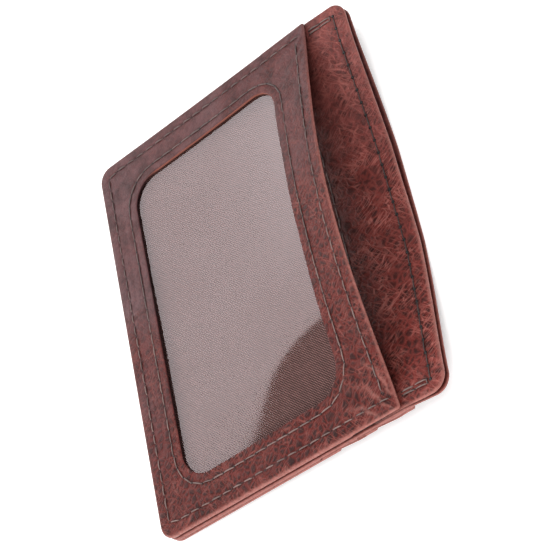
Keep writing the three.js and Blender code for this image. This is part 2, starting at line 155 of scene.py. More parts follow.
def lip_shape(x, v):
    """The window panel bows up by bow crown^1.34 (v / mouth)^2.46."""
    return seam_rise(v) + LIP_BOW * crown(x, 1.34) * (np.maximum(v, 0) / ID_MOUTH) ** 2.46


def pile_drop(v):
    """Above the ID pocket's mouth the pile closes down by the back panel's level."""
    return ramp(v, ID_MOUTH, HEIGHT - HEM / 2, 0, -LEVEL["panel"])


print("lip at the middle of the mouth:", round(float(lip_shape(0.0, ID_MOUTH)) + FRAME_TOP, 2), "mm")

# %% [markdown]
# ## Where the needle goes
#
# Every seam is a row of needle holes 3.2 mm apart. The same rows are used three times: to pull a small
# groove into the leather, to paint shade along it, and to lay the stitches from hole to hole.

# %% Paths and needle holes


def arc(cx, cv, radius, from_deg, to_deg, count=13):
    """Points on a circle between two angles."""
    a = np.radians(np.linspace(from_deg, to_deg, count))
    return np.stack([cx + radius * np.cos(a), cv + radius * np.sin(a)], 1)


def spaced(path):
    """Points at equal steps along a polyline, as close to the stitch pitch as a whole number allows."""
    steps = np.linalg.norm(np.diff(path, axis=0), axis=1)
    length = np.concatenate([[0], np.cumsum(steps)])
    at = np.linspace(0, length[-1], int(round(length[-1] / PITCH)) + 1)
    return np.stack([np.interp(at, length, path[:, k]) for k in range(2)], 1)


def rounded_ring(half, bottom, top, radius):
    """Closed rounded rectangle, anticlockwise from the middle of its lower side."""
    side, low, high, start = half - radius, bottom + radius, top - radius, [[0.0, bottom]]
    return np.concatenate([
        start, arc(side, low, radius, -90, 0), arc(side, high, radius, 0, 90),
        arc(-side, high, radius, 90, 180), arc(-side, low, radius, 180, 270), start])


def outside_window(offset):
    """Half width, bottom, top and corner radius of the outline at a distance out from the window's edge."""
    return WINDOW + offset * np.array([1, -1, 1, 1])


def side_seam(top):
    """Down the left side, along the closed edge and up the right side, 3 mm in from the edges."""
    side = HALF_WIDTH - SEAM
    return np.concatenate([
        [[-side, top]], arc(-side + 1, SEAM + 1, 1, 180, 270, 5), arc(side - 1, SEAM + 1, 1, -90, 0, 5),
        [[side, top]],
    ])


def straight(x0, v0, x1, v1):
    return spaced(np.array([[x0, v0], [x1, v1]]))


WINDOW_SEAM = 2.4
rows = {
    "window": spaced(rounded_ring(*outside_window(WINDOW_SEAM))),
    "side_front": spaced(side_seam(66.9)),
    "mouth": straight(-45.4, 65.5, 45.4, 65.5),
    "facing_top": straight(-47, 75.8, 47, 75.8),
    "facing_foot": straight(-40, 62.5, 40, 62.5),
    "back_top": straight(-47, 76.1, 47, 76.1),
    "side_back": spaced(side_seam(75.6)),
}
for place, mouth in MOUTHS.items():
    rows["slot_" + place] = straight(-47, mouth - 2.9, 47, mouth - 2.9)
for side, name in ((-1, "left"), (1, "right")):
    inner, outer = side * 46.55, side * 47.45
    rows["tack_" + name] = np.concatenate([straight(inner, 68.9, inner, 75.0),
                                           straight(outer, 75.0, outer, 68.9)])
print({name: len(holes) for name, holes in rows.items()}, "needle holes")

# %% Distances to a seam


def nearest(points, places):
    """Distance from each of many points to the nearest of a few places."""
    return np.min([np.hypot(*(points - place).T) for place in places], axis=0)


def nearest_line(points, path):
    """Distance from each point to a polyline: the point less its foot on each segment, held to its ends."""
    feet = []
    for a, b in zip(path[:-1], path[1:]):
        along = b - a
        t = np.clip(((points - a) @ along) / max(along @ along, 1e-9), 0, 1)
        feet.append(np.hypot(*(points - (a + t[:, None] * along)).T))
    return np.min(feet, axis=0)


def smooth_step(value, low, high):
    """0 below low, 1 above high, and 3t^2 - 2t^3 between them."""
    t = np.clip((value - low) / (high - low), 0, 1)
    return t * t * (3 - 2 * t)


GROOVE = 0.06
PAD = 0.03


def stitched(points, names):
    """How the stitches pull the leather: a groove exp(-(d/0.45)^2) along each row, twice as deep at each hole,
    and a soft pad beside it. Returns the height in mm and a mask along the groove, where shade is painted."""
    height, mask = np.zeros(len(points)), np.zeros(len(points))
    for name in names:
        to_line, to_hole = nearest_line(points, rows[name]), nearest(points, rows[name])
        pad = PAD * np.exp(-((to_line - 1.3) / 0.7) ** 2)
        groove = GROOVE * np.exp(-(to_line / 0.45) ** 2) * (1 + np.exp(-(to_hole / 0.8) ** 2))
        height += pad - groove
        mask = np.maximum(mask, np.exp(-(to_line / 0.3) ** 2))
    return height, mask


def rolling(x, v, seed, size, depth):
    """Soft unevenness: ten sine waves in random directions, about one size long and one depth high."""
    rng = np.random.default_rng(seed)
    total = np.zeros_like(x)
    for _ in range(10):
        angle, phase = rng.uniform(0, 2 * np.pi, 2)
        length = size * rng.uniform(0.6, 1.8)
        total += np.sin(2 * np.pi * (x * np.cos(angle) + v * np.sin(angle)) / length + phase)
    return depth * total / np.sqrt(10)


print("seam helpers ready")

# %% [markdown]
# ## Making a mesh from a grid
#
# A sheet is a grid of points for its upper face and one for its lower face. Both share their border, so
# the solid is closed. A ring, such as the window frame, is a grid that runs round in both directions.

# %% Grid to mesh


def strip(a, b, c, d):
    """Faces from four grids of corner indices."""
    return np.stack([a.ravel(), b.ravel(), c.ravel(), d.ravel()], 1)


def new_object(name, points, faces, material):
    """A smooth mesh object from points in mm."""
    mesh = bpy.data.meshes.new(name)
    mesh.from_pydata((points * MM).tolist(), [], faces)
    mesh.polygons.foreach_set("use_smooth", np.ones(len(faces), bool))
    mesh.materials.append(material)
    mesh.update()
    thing = bpy.data.objects.new(name, mesh)
    bpy.context.scene.collection.objects.link(thing)
    return thing


def make_piece(name, node, points, faces, material, attributes):
    """A visible piece in place of a CAD node. A repeated corner in a quad makes a triangle."""
    points[:, 0] += side_flare(points[:, 0], points[:, 1] + HALF_HEIGHT)
    piece = new_object(name, points, [tuple(dict.fromkeys(face)) for face in faces], material)
    for key, values in attributes.items():
        layer = piece.data.attributes.new(key, "FLOAT", "POINT")
        layer.data.foreach_set("value", np.asarray(values, np.float32))
    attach(piece, "root")
    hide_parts(node)
    print(f"{name}: {len(points)} points, {len(faces)} faces")
    return piece


def two_faced(shape):
    """Quads of a closed sheet on a grid: the upper face, then the lower one, which shares its border."""
    n, m = shape
    upper = np.arange(n * m).reshape(n, m)
    lower = upper.copy()
    lower[1:-1, 1:-1] = n * m + np.arange((n - 2) * (m - 2)).reshape(n - 2, m - 2)
    up = strip(upper[:-1, :-1], upper[:-1, 1:], upper[1:, 1:], upper[1:, :-1])
    down = strip(lower[:-1, :-1], lower[1:, :-1], lower[1:, 1:], lower[:-1, 1:])
    return np.concatenate([up, down])


def inside_distance(x, v, half, bottom, top, low_radius, high_radius):
    """Distance in from the edge of a rounded rectangle: r - |max(q, 0)| - min(max(q), 0), with q the distance
    past the corner centres."""
    middle = (bottom + top) / 2
    radius = np.where(v < middle, low_radius, high_radius)
    qx = np.abs(x) - half + radius
    qv = np.where(v < middle, bottom - v, v - top) + radius
    outside = np.hypot(np.maximum(qx, 0), np.maximum(qv, 0)) + np.minimum(np.maximum(qx, qv), 0)
    return radius - outside


def half_width_at(v, half, bottom, top, low_radius, high_radius):
    """Half width of a rounded rectangle: a corner circle takes r - sqrt(r^2 - e^2) off it."""
    low = np.clip(bottom + low_radius - v, 0, low_radius)
    high = np.clip(v - top + high_radius, 0, high_radius)
    return (half - (low_radius - np.sqrt(np.maximum(low_radius ** 2 - low ** 2, 0)))
            - (high_radius - np.sqrt(np.maximum(high_radius ** 2 - high ** 2, 0))))


def edge_steps(roll):
    """Distances in from an edge: close together on its rolled part and around the seam."""
    rolled = roll * (1 - np.cos(np.linspace(0, np.pi / 2, 7)))
    rest = np.array([0.75, 1.05, 1.4, 1.8, 2.1, 2.35, 2.55, 2.7, 2.85, 3.0, 3.15, 3.3, 3.5, 3.8, 4.2, 4.5])
    return np.concatenate([rolled, rest[rest > roll * 1.15]])


def round_edge(distance, roll):
    """Half-round edge: sqrt(1 - (1 - d/roll)^2) of the half thickness."""
    return np.sqrt(np.clip(1 - (1 - np.clip(distance / roll, 0, 1)) ** 2, 0, 1))


# Widths of the edge mask, which is rubbed pale and partly a painted highlight.
SHEET_WEAR_AND_HIGHLIGHT, FRAME_WEAR_AND_HIGHLIGHT = 0.38, 0.42


def sheet_grid(half, bottom, top, radii, roll, across, up, fine_v):
    """The grid of a sheet: columns follow its sides at fixed distances, rows its ends."""
    steps = edge_steps(roll)
    low_rows, high_rows = bottom + steps, top - steps[::-1]
    span = high_rows[0] - low_rows[-1]
    inner = np.linspace(low_rows[-1], high_rows[0], max(2, int(up * span / 60.0)) + 1)[1:-1]
    v = np.unique(np.round(np.concatenate([low_rows, inner, high_rows, fine_v]), 5))
    width = half_width_at(v, half, bottom, top, *radii)[:, None]
    core = np.linspace(-1, 1, across)[None, 1:-1] * (width - steps[-1])
    x = np.concatenate([steps - width, core, width - steps[::-1]], 1)
    return x, np.repeat(v[:, None], x.shape[1], 1)


def leather_sheet(node, kind, material, half, bottom, top, radii, low_face, high_face, roll=0.3,
                  upper_rows=(), lower_rows=(), uneven=(0, 12.0, 0.0), across=150, up=60, fine_v=(),
                  relief=None, pull=None):
    """A closed sheet between two faces of (x, v). At its edge both faces close to their middle on a half
    round. Stitch grooves and a soft unevenness are added to them."""
    grid_x, grid_v = sheet_grid(half, bottom, top, radii, roll, across, up, fine_v)
    x, v = grid_x.ravel(), grid_v.ravel()
    flat = np.stack([x, v], 1)
    inset = inside_distance(x, v, half, bottom, top, *radii)
    low, high = low_face(x, v), high_face(x, v)
    middle, half_thick = (low + high) / 2, (high - low) / 2 * round_edge(inset, roll)
    inside = smooth_step(inset, 0.1, 1.2)
    waves = rolling(x, v, *uneven) * inside
    up_height, up_mask = stitched(flat, upper_rows)
    low_height, low_mask = stitched(flat, lower_rows)
    extra = relief(x, v) * inside if relief else 0
    z_up = middle + half_thick + (up_height * inside + waves + extra)
    z_low = middle - half_thick - low_height * inside + waves
    keep = np.zeros(grid_x.shape, bool)
    keep[1:-1, 1:-1] = True
    keep = keep.ravel()
    y = v - HALF_HEIGHT + (pull(x, v) if pull else 0)
    points = np.concatenate([np.stack([x, y, z_up], 1), np.stack([x, y, z_low], 1)[keep]])
    # The edge mask: rubbed pale and partly a painted highlight. It also makes the edge smoother.
    worn = np.exp(-(inset / SHEET_WEAR_AND_HIGHLIGHT) ** 2)
    # hole is the stitch groove mask, along which shade is painted.
    attributes = {
        "hole": np.concatenate([up_mask, low_mask[keep]]),
        "edge": np.concatenate([worn, worn[keep]]),
        "raw": np.zeros(len(points)),
    }
    return make_piece(f"{node}_{kind}", node, points, two_faced(grid_x.shape).tolist(), material, attributes)


print("sheet helpers ready")

# %% [markdown]
# ## Building materials from nodes
#
# Patterns that several finishes share are node groups: leather grain, mottling, and cloth weave. They read
# the piece's own Object coordinates in millimetres. The shader itself stays in each material, with its
# constant values set on its own sockets.

# %% Node helpers


def put(socket, value):
    """Links a socket or sets a plain value."""
    if isinstance(value, bpy.types.NodeSocket):
        socket.id_data.links.new(value, socket)
    else:
        socket.default_value = value


def put_all(node, values):
    for key, value in values.items():
        put(node.inputs[key], value)


def add(tree, kind, inputs=None, **settings):
    """A new node with its settings and its inputs by name or number."""
    node = tree.nodes.new("ShaderNode" + kind)
    for key, value in settings.items():
        setattr(node, key, value)
    put_all(node, inputs or {})
    return node


def tree_of(*values):
    """The node tree that the first socket among the values is in."""
    return next(value.id_data for value in values if isinstance(value, bpy.types.NodeSocket))


def calc(operation, *values, clamp=False):
    inputs = dict(enumerate(values))
    return add(tree_of(*values), "Math", inputs, operation=operation, use_clamp=clamp).outputs[0]


times, plus, minus = (partial(calc, operation) for operation in ("MULTIPLY", "ADD", "SUBTRACT"))


def vector_calc(operation, a, b):
    """Vector maths. A plain number b stands for all three of its parts."""
    b = (b, b, b) if isinstance(b, float) else b
    return add(a.id_data, "VectorMath", {0: a, 1: b}, operation=operation).outputs[0]


def parts_of(place):
    return add(place.id_data, "SeparateXYZ", {0: place}).outputs


def blend(share, a, b):
    """Colour a, with a share of colour b mixed in."""
    return add(share.id_data, "Mix", {0: share, 6: a, 7: b}, data_type="RGBA").outputs[2]


def remap(value, low, high, to_low=0.0, to_high=1.0):
    return add(value.id_data, "MapRange", {0: value, 1: low, 2: high, 3: to_low, 4: to_high}).outputs[0]


def noise(place, scale, detail=3.0, rough=0.55, distortion=0.0, output=0):
    inputs = {"Vector": place, "Scale": scale, "Detail": detail, "Roughness": rough, "Distortion": distortion}
    return add(place.id_data, "TexNoise", inputs).outputs[output]


def stretched(place, sizes, turn):
    """The place measured in sizes along axes turned about Z, so that a pattern is long in one direction."""
    inputs = {"Vector": place, "Rotation": (0, 0, turn), "Scale": sizes}
    return add(place.id_data, "Mapping", inputs, vector_type="TEXTURE").outputs[0]


def bumped(height, depth):
    """A normal from a height pattern that is depth mm high."""
    return add(height.id_data, "Bump", {"Strength": 1.0, "Distance": depth * MM, "Height": height}).outputs[0]


def attribute(tree, name):
    return add(tree, "Attribute", attribute_name=name, attribute_type="GEOMETRY").outputs["Fac"]


def make_group(name, floats, build):
    """A shader node group of the Place and floats {name: default}. build turns its input sockets into its
    output floats by name."""
    tree = bpy.data.node_groups.new(name, "ShaderNodeTree")
    tree.interface.new_socket(name="Place", in_out="INPUT", socket_type="NodeSocketVector")
    for key, default in floats.items():
        socket = tree.interface.new_socket(name=key, in_out="INPUT", socket_type="NodeSocketFloat")
        socket.default_value = default
    made = build(tree.nodes.new("NodeGroupInput").outputs)
    for key in made:
        tree.interface.new_socket(name=key, in_out="OUTPUT", socket_type="NodeSocketFloat")
    put_all(tree.nodes.new("NodeGroupOutput"), made)
    return tree


def use_group(group, place, **floats):
    return add(place.id_data, "Group", {"Place": place, **floats}, node_tree=group).outputs


def plain_material(name, values):
    """A material with constants on its Principled shader."""
    material = bpy.data.materials.new(name)
    material.use_nodes = True
    put_all(material.node_tree.nodes["Principled BSDF"], values)
    return material


def new_material(name):
    """A material with its Principled shader, and the piece's Object coordinates turned to millimetres."""
    material = plain_material(name, {})
    tree = material.node_tree
    place = vector_calc("MULTIPLY", add(tree, "TexCoord").outputs["Object"], 1000.0)
    return material, tree, tree.nodes["Principled BSDF"], place


# %% Leather grain group


def cell_lines(place, width):
    """1 on the borders between random cells, falling to 0 at a width from them."""
    cells = add(place.id_data, "TexVoronoi", {"Vector": place, "Scale": 1.0}, feature="DISTANCE_TO_EDGE")
    return remap(cells.outputs[0], 0.0, width, 1.0, 0.0)


def build_grain(given):
    """Pebbles are cells pulled out of shape by noise. Wrinkles are the borders of long cells in two
    directions, in patches. Pores are the finest noise."""
    place = given["Place"]
    pull = vector_calc("SUBTRACT", noise(place, 0.35, 1.5, 0.5, output=1), 0.5)
    warped = vector_calc("ADD", place, vector_calc("MULTIPLY", pull, 2.0))
    straighter = vector_calc("ADD", place, vector_calc("MULTIPLY", pull, 0.65))
    one_cell = calc("DIVIDE", 1.0, given["Cell"])
    in_cells = add(place.id_data, "VectorMath", {0: warped, 3: one_cell}, operation="SCALE").outputs[0]
    left = cell_lines(stretched(straighter, (5.5, 0.70, 2.0), 2.15), 0.085)
    right = cell_lines(stretched(straighter, (5.5, 0.95, 2.0), 0.75), 0.075)
    left_patch = remap(noise(place, 0.16, 2.0), 0.38, 0.62)
    right_patch = remap(noise(place, 0.12, 2.0, 0.5, 0.7), 0.42, 0.62)
    return {
        "Valley": cell_lines(in_cells, 0.24),
        "Fine": cell_lines(stretched(warped, (0.60, 0.42, 0.5), 0.5), 0.30),
        "Wrinkle": calc("MAXIMUM", times(left, left_patch), times(right, right_patch)),
        "Pores": noise(place, 4.5, 3.0, 0.65),
    }


leather_grain = make_group("leather_grain", {"Cell": 1.0}, build_grain)

# %% Mottling group


def build_mottle(given):
    """Broad clouds a few centimetres wide, blotches of a few millimetres, and fine specks."""
    place = given["Place"]
    return {
        "Cloud": remap(noise(place, 0.045, 3.0, 0.5), 0.36, 0.64),
        "Blotch": remap(noise(place, 0.21, 4.0, 0.62, 0.5), 0.42, 0.66),
        "Speck": remap(noise(place, 1.3, 5.0, 0.75), 0.40, 0.62),
    }


mottle = make_group("mottle", {}, build_mottle)

# %% Weave group


def build_weave(given):
    """Cloth on the diagonal: one set of threads follows x + y, the other x - y. The height is the product of
    |sin|^0.7 of the place across each."""
    x, y, _ = parts_of(given["Place"])
    pitch = times(given["Pitch"], math.sqrt(2.0))
    across = [calc("ABSOLUTE", calc("SINE", times(calc("DIVIDE", place, pitch), math.pi)))
              for place in (plus(x, y), minus(x, y))]
    return {"Height": times(calc("POWER", across[0], 0.7), calc("POWER", across[1], 0.7))}


weave = make_group("weave", {"Pitch": 0.42}, build_weave)
print("node groups:", [g.name for g in bpy.data.node_groups])

# %% [markdown]
# ## Leather
#
# Pull-up leather is waxed. It is dark where the wax is thick, and turns lighter and redder where the skin is
# stretched: along turned edges and in creases. So each finish is a list of tones laid over one another, each
# with the share in which it shows: a paler wax tone on the left, which is a painted sheen standing for the
# softbox's reflection there, full colour on the right, dark mottling and pebbles, light wrinkles. Painted
# shade along the stitch grooves and on the window's shaded inner walls, edges that are rubbed pale and partly
# a painted highlight, and the window's raw cut edge come from the mesh's attributes.

# %% Leather materials
# Tone of the edges: rubbed pale, and partly a painted highlight towards the right.
RUBBED_EDGE_AND_HIGHLIGHT = (0.31, 0.115, 0.095, 1.0)
RAW = (0.22, 0.075, 0.052, 1.0)
# Painted shade along the stitch grooves and on the window's shaded inner walls.
GROOVE_AND_WALL_SHADE = (0.02, 0.008, 0.008, 1.0)
# Painted shade that the facing takes deep in the ID pocket.
POCKET_SHADE = (0.010, 0.0022, 0.0020, 1.0)


def leather(name, tones, cell, depth, pebbles, wrinkles, rough, pocket_shade=None):
    """A leather finish: four tones, pebble size and grain depth in mm, and how strongly pebbles and wrinkles
    show, as (on the left, on the right). The last argument gives two places up the wallet between which the
    leather goes from a painted shade, as dark as deep in the pocket, to its full colour."""
    material, tree, shader, place = new_material(name)
    # wax is the tone on the left: a painted sheen standing for the softbox's reflection there.
    wax, dark, mid, light = tones
    grain, clouds = use_group(leather_grain, place, Cell=cell), use_group(mottle, place)
    cloud, blotch, speck = clouds["Cloud"], clouds["Blotch"], clouds["Speck"]
    valley, wrinkle, edge = grain["Valley"], grain["Wrinkle"], attribute(tree, "edge")
    across, up, _ = parts_of(place)
    # side is 0 on the left and 1 on the right; the painted sheen on the left fades into the full colour along
    # it.
    wander = times(minus(cloud, 0.5), 30.0)
    side = remap(plus(plus(across, times(up, 0.5)), wander), -40.0, 42.0)
    pebbling, wrinkling = remap(side, 0.0, 1.0, *pebbles), remap(side, 0.0, 1.0, *wrinkles)
    # Edges rub pale, more so to the right, where the pale edge is also a painted highlight of the side light.
    rubbing_and_highlight = times(remap(speck, 0.0, 1.0, 1.0, 0.6), remap(side, 0.0, 1.0, 0.4, 1.0))
    crown_of_pebble = minus(1.0, valley, clamp=True)
    layers = [
        (side, mid),
        (times(cloud, 0.35), mid),
        (times(blotch, 0.65), dark),
        (times(speck, 0.32), dark),
        (times(crown_of_pebble, times(pebbling, 0.85)), dark),
        (times(times(valley, pebbling), 0.55), mid),
        (times(wrinkle, wrinkling), light),
        (times(edge, rubbing_and_highlight), RUBBED_EDGE_AND_HIGHLIGHT),
        (attribute(tree, "raw"), RAW),
        # Painted shade in the stitch grooves and, on the frame, on the window's shaded inner walls.
        (times(attribute(tree, "hole"), 0.35), GROOVE_AND_WALL_SHADE),
    ]
    # Painted shade: the leather is darker low down, towards the inside of the pocket.
    if pocket_shade:
        layers.append((remap(plus(up, times(blotch, 1.5)), *pocket_shade, 0.75, 0.0), POCKET_SHADE))
    color = wax
    for share, tone in layers:
        color = blend(share, color, tone)
    dull = plus(plus(rough, times(speck, 0.10)), times(grain["Pores"], 0.10))
    height = minus(times(crown_of_pebble, times(pebbling, 0.9)), times(grain["Fine"], 0.22))
    height = minus(height, times(wrinkle, times(wrinkling, 0.5)))
    height = plus(height, times(grain["Pores"], 0.35))
    put_all(shader, {"Base Color": color, "Roughness": minus(dull, times(edge, 0.18)),
                     "Normal": bumped(height, depth), "Specular IOR Level": 0.15})
    return material


# The first tone of each hide is the painted sheen laid on its left side.
HIDE = ((0.108, 0.052, 0.056, 1.0), (0.014, 0.0020, 0.0017, 1.0), (0.105, 0.0130, 0.0095, 1.0),
        (0.215, 0.058, 0.046, 1.0))
FACING_HIDE = ((0.250, 0.072, 0.064, 1.0), (0.009, 0.0014, 0.0012, 1.0), (0.165, 0.0250, 0.0195, 1.0),
               (0.36, 0.112, 0.092, 1.0))
front_leather = leather("front_leather", HIDE, 1.6, 0.15, (0.15, 1.0), (0.2, 0.75), 0.31)
# The facing gets painted shade low down, where it goes into the pocket.
facing_leather = leather("facing_leather", FACING_HIDE, 1.8, 0.15, (0.30, 0.80), (0.50, 0.85), 0.31,
                         (22.5, 33.0))
back_leather = leather("back_leather", HIDE, 1.7, 0.10, (0.35, 0.6), (0.2, 0.4), 0.38)
print("leathers made")

# %% [markdown]
# ## Cloth, thread and film
#
# The lining is woven cloth laid on the bias, so its threads run at 45 degrees to the edges. The thread is
# waxed and twisted. The window film is a clear sheet that mirrors a little light, so its shader is a mirror
# that is nearly transparent, and more of a mirror at a shallow angle.

# %% Cloth and thread materials


def cloth(name, low, high, depth, pitch):
    material, _, shader, place = new_material(name)
    height = use_group(weave, place, Pitch=pitch)["Height"]
    slub = remap(noise(stretched(place, (2.0, 0.4, 1.0), math.pi / 4), 1.0, 3.0), 0.35, 0.65)
    tone = times(calc("POWER", height, 2.0), remap(slub, 0.0, 1.0, 0.7, 1.0))
    put_all(shader, {"Base Color": blend(tone, low, high), "Normal": bumped(height, depth), "Roughness": 0.75,
                     "Sheen Weight": 0.04, "Specular IOR Level": 0.2})
    return material


id_cloth = cloth("id_cloth", (0.003, 0.0015, 0.0015, 1.0), (0.42, 0.205, 0.185, 1.0), 0.06, 0.46)
pocket_cloth = cloth("pocket_cloth", (0.010, 0.006, 0.006, 1.0), (0.06, 0.032, 0.029, 1.0), 0.05, 0.42)


def make_thread_material():
    """Two-ply twist: a sine along a stitch, leaning round it, from the UV map, with painted shade in the
    groove between the plies. The tone attribute goes from black wax to pale worn thread, and is below zero in
    the needle holes, whose beads are painted near black as their shade."""
    material, tree, shader, place = new_material("thread")
    along, around, _ = parts_of(add(tree, "UVMap", uv_map="stitch").outputs[0])
    ply = calc("ABSOLUTE", calc("SINE", plus(times(along, 30.0), times(around, 6.28))))
    fray = remap(noise(place, 2.2, 3.0), 0.35, 0.65)
    tone = attribute(tree, "tone")
    color = blend(tone, (0.014, 0.009, 0.009, 1.0), (0.26, 0.165, 0.145, 1.0))
    # Painted shade in the groove between the two plies.
    color = blend(times(minus(1.0, ply), 0.6), color, (0.012, 0.008, 0.008, 1.0))
    color = blend(times(fray, 0.4), color, (0.02, 0.012, 0.012, 1.0))
    # Painted shade: the beads in the needle holes are near black.
    color = blend(calc("LESS_THAN", tone, -0.5), color, (0.003, 0.002, 0.002, 1.0))
    put_all(shader, {"Base Color": color, "Normal": bumped(ply, 0.03), "Roughness": 0.5})
    return material


thread = make_thread_material()

# %% Film material


def make_film_material():
    """A mirror as transparent as clear vinyl: alpha is the Fresnel share of both its faces, and a faint haze.
    The under face adds nothing, because the upper one counts it. The mirror is three times denser than real
    vinyl and as much darker, which looks the same and gives a calmer picture."""
    material, tree, shader, place = new_material("window_film")
    share = add(tree, "Fresnel", {"IOR": 1.5}).outputs[0]
    haze = remap(noise(place, 0.06, 2.0), 0.3, 0.7, 0.0, 0.02)
    under = add(tree, "NewGeometry").outputs["Backfacing"]
    alpha = times(plus(times(share, 3.0), haze), minus(1.0, under))
    put_all(shader, {"Alpha": calc("MINIMUM", alpha, 1.0), "Base Color": (0.33, 0.30, 0.31, 1.0),
                     "Metallic": 1.0, "Roughness": 0.06})
    return material


film_clear = make_film_material()
print("materials:", [m.name for m in bpy.data.materials])

# %% [markdown]
# ## The window frame
#
# The frame is one piece of leather with the window cut out. It is a ring, so its grid follows the window's
# outline inside and the wallet's outline outside, with fine rows where the seams and the turned edge are.

# %% Ring outlines
LONG_COUNT, SHORT_COUNT, CORNER_COUNT = 190, 130, 12


def ring(half, bottom, top, low_radius, high_radius):
    """A rounded rectangle anticlockwise from its lower left, with a fixed number of points on each side and
    corner, so that every ring has as many."""
    def line(a, b, count):
        t = np.linspace(0, 1, count, endpoint=False)[:, None]
        return np.array(a) * (1 - t) + np.array(b) * t

    def turn(cx, cv, radius, start):
        a = np.radians(start + 90 * np.linspace(0, 1, CORNER_COUNT, endpoint=False))
        return np.stack([cx + radius * np.cos(a), cv + radius * np.sin(a)], 1)

    low, high = max(low_radius, 0.02), max(high_radius, 0.02)
    from_v, to_v, low_x, high_x = bottom + low, top - high, half - low, half - high
    return np.concatenate([
        line((-low_x, bottom), (low_x, bottom), LONG_COUNT), turn(low_x, from_v, low, -90),
        line((half, from_v), (half, to_v), SHORT_COUNT), turn(high_x, to_v, high, 0),
        line((high_x, top), (-high_x, top), LONG_COUNT), turn(-high_x, to_v, high, 90),
        line((-half, to_v), (-half, from_v), SHORT_COUNT), turn(-low_x, from_v, low, 180)])


def around_window(offset):
    half, bottom, top, radius = outside_window(offset)
    return ring(half, bottom, top, radius, radius)


MOUTH_CORNER = 0.7
THIN_TURN = 0.25


def around_frame(inset):
    return ring(HALF_WIDTH - inset, inset, ID_MOUTH - inset, CORNER - inset, MOUTH_CORNER - inset)


def rim_turn(x, v):
    """1 where an edge is turned, at the two sides and the closed edge, and 0 inside."""
    return np.clip((HEM + FOLD - np.minimum(HALF_WIDTH - np.abs(x), v)) / FOLD, 0, 1)


def frame_low(x, v):
    """The frame's underside: its turned edges fill the levels below it."""
    mouth_turn = np.clip((v - ID_MOUTH + HEM + FOLD) / FOLD, 0, 1)
    rim_depth = np.where(v < FOOTS["upper"], LEVEL["frame"] - LEVEL["id"] - CLOTH - GAP, THIN_TURN)
    depth = np.maximum(mouth_turn * THIN_TURN, rim_turn(x, v) * rim_depth)
    return lip_shape(x, v) + LEVEL["frame"] - depth


def frame_high(x, v):
    return lip_shape(x, v) + FRAME_TOP


# %% Window frame


def make_window_frame():
    near = [0.0, 0.04, 0.12, 0.3, 0.6, 1.0, 1.4, 1.75, 2.0, 2.15, 2.3, 2.4, 2.5, 2.65, 2.8, 3.05, 3.4, 4.0]
    far = [4.5, 4.0, 3.6, 3.35, 3.2, 3.1, 3.0, 2.9, 2.8, 2.65, 2.4, 2.1, 1.75, 1.4, 1.05, 0.8]
    roll = 0.65
    rolled = list(roll * (1 - np.cos(np.linspace(np.pi / 2, 0, 8))))
    between = [(1 - t) * around_window(4.0) + t * around_frame(4.5) for t in np.linspace(0, 1, 9)[1:-1]]
    upper = [around_window(d) for d in near] + between + [around_frame(e) for e in far + rolled]
    under = [around_frame(e) for e in rolled[::-1][1:] + [1.0, 2.0, 3.0, 3.4, 4.5]]
    under += between[::-2] + [around_window(d) for d in (4.0, 2.0, 0.6, 0.0)]
    wall = [around_window(0.0)] * 3
    flat = np.concatenate(upper + under + wall)
    x, v = flat.T
    columns = len(upper[0])
    is_upper = np.arange(len(flat)) < len(upper) * columns
    is_wall = np.arange(len(flat)) >= (len(upper) + len(under)) * columns
    inset = inside_distance(x, v, HALF_WIDTH, 0.0, ID_MOUTH, CORNER, MOUTH_CORNER)
    low, high = frame_low(x, v), frame_high(x, v)
    bulge = round_edge(inset, roll)
    middle, half_thick = (low + high) / 2, (high - low) / 2
    height, mask = stitched(flat, ["window", "side_front", "mouth"])
    calm = smooth_step(inset, 0.1, 1.2)
    hem = 0.05 * smooth_step(inset, 3.5, 2.6) * calm
    cut = -0.10 * np.exp(-(window_distance(x, v) / 0.10) ** 2)
    waves = rolling(x, v, 11, 15.0, 0.07) * calm + mouth_creases(x, v) * calm
    z = np.where(is_upper, middle + half_thick * bulge + height * calm + hem + cut + waves,
                 middle - half_thick * bulge)
    step = (np.arange(len(flat)) // columns - len(upper) - len(under) + 1) / 4.0
    z = np.where(is_wall, low + (high - 0.1 - low) * step, z)
    points = np.stack([x, v - HALF_HEIGHT, z], 1)
    index = np.arange(len(flat)).reshape(-1, columns)
    along, over = np.roll(index, -1, 1), np.roll(index, -1, 0)
    faces = strip(index, over, np.roll(over, -1, 1), along)
    raw = np.where(is_wall, 1.0, np.where(is_upper, np.exp(-(window_distance(x, v) / 0.05) ** 2), 0.0))
    left = smooth_step(-x, 28.0, 36.0) * smooth_step(v, 13.0, 19.0)
    # Painted shade along the stitch grooves and on the window's inner walls, except the left one, which shows
    # its raw cut edge.
    shade = np.maximum(np.where(is_upper, mask, 0), np.where(is_wall, 2.5 * (1 - left), 0))
    # The frame's edge mask is rubbed pale and partly a painted highlight. The crease lines are rubbed pale.
    rubbed = np.maximum(np.exp(-(inset / FRAME_WEAR_AND_HIGHLIGHT) ** 2), np.where(is_upper, crease_lines(x, v), 0))
    attributes = {"hole": shade, "edge": rubbed, "raw": raw * left}
    make_piece("window_frame_leather", "window_frame", points, faces.tolist(), front_leather, attributes)


def window_distance(x, v):
    """Distance out from the window's cut edge."""
    return np.maximum(0, -inside_distance(x, v, *WINDOW, WINDOW[3]))


def around_point(x, v, centre_x, centre_v):
    """Angle about a point, and distance from it."""
    dx, dv = x - centre_x, v - centre_v
    return np.arctan2(dv, dx), np.hypot(dx, dv)


